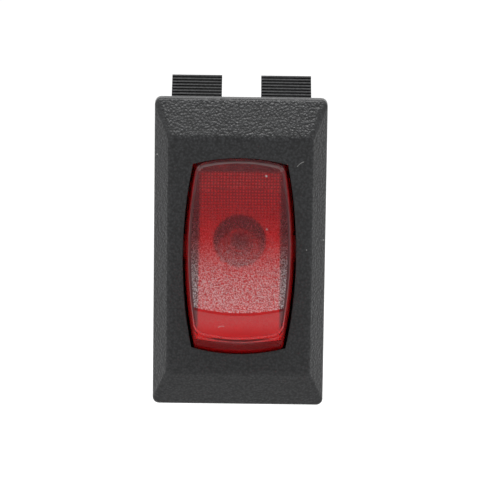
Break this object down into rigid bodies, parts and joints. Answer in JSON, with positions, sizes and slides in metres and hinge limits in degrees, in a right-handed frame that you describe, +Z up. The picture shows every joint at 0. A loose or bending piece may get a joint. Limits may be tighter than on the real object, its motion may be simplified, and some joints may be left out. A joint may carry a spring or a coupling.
{
  "type": "illuminated rocker switch",
  "caption": "Snap-in rocker switch: a red translucent lamp-lit rocker in a black sloped bezel, with ridged snap arms, a sprung contact arm inside and spade terminals behind.",
  "frame": {"origin": "middle of the bezel's rear seat, on the front of the panel that it closes", "axes": "+X to the right seen from the front, +Y into the panel, +Z up the panel along the bezel's length; the rocker faces -Y"},
  "size_m": [0.0346, 0.0423, 0.0666],
  "materials": {
    "bezel_plastic": "fine moulded grain",
    "housing_plastic": "satin moulded",
    "base_plastic": "satin moulded",
    "terminal_brass": "stamped",
    "rivet_brass": "headed",
    "contact_silver": "polished",
    "lamp_epoxy": "clear cast",
    "tinned_wire": "tinned",
    "resistor_lacquer": "lacquered",
    "solder": "flowed",
    "arm_bronze": "rolled strip",
    "carrier_nylon": "moulded, dyed red",
    "plunger_nylon": "moulded",
    "spring_steel": "drawn wire",
    "diffuser_plastic": "dotted diffuser",
    "lens_red": "translucent, frosted finger dish"
  },
  "bodies": {
    "housing": {"bezel": "bezel_plastic", "housing": "housing_plastic", "terminal_base": "base_plastic", "supply_terminal": "terminal_brass", "load_terminal": "terminal_brass", "ground_terminal": "terminal_brass", "terminal_rivets": "rivet_brass", "fixed_contact": "contact_silver", "lamp": "lamp_epoxy", "lamp_legs": "tinned_wire", "lamp_resistor": "resistor_lacquer", "resistor_leads": "tinned_wire", "solder_joints": "solder"},
    "rocker": {"rocker_lens": "lens_red", "diffuser": "diffuser_plastic", "rocker_carrier": "carrier_nylon", "plunger_spring": "spring_steel"},
    "plunger": {"plunger": "plunger_nylon"},
    "contact_arm": {"contact_arm": "arm_bronze", "moving_contact": "contact_silver"}
  },
  "joints": [
    {"name": "rocker_tilt", "type": "hinge", "parent": "housing", "child": "rocker", "pos_m": [0, 0.003, 0], "axis": [1, 0, 0], "range_deg": [0, 18]},
    {"name": "plunger_slide", "type": "slide", "parent": "rocker", "child": "plunger", "axis": [0, -0.9659, 0.2588], "range_m": [0, 0.0012], "stiffness_N_per_m": 400, "springref_m": -0.004, "deforming": ["plunger_spring"]},
    {"name": "contact_arm_rock", "type": "hinge", "parent": "housing", "child": "contact_arm", "pos_m": [0, 0.01505, 0], "axis": [1, 0, 0], "range_deg": [-12.1, 0]}
  ],
  "couplings": [
    {"joint": "contact_arm_rock", "follows": "rocker_tilt", "ratio": -0.66667}
  ]
}
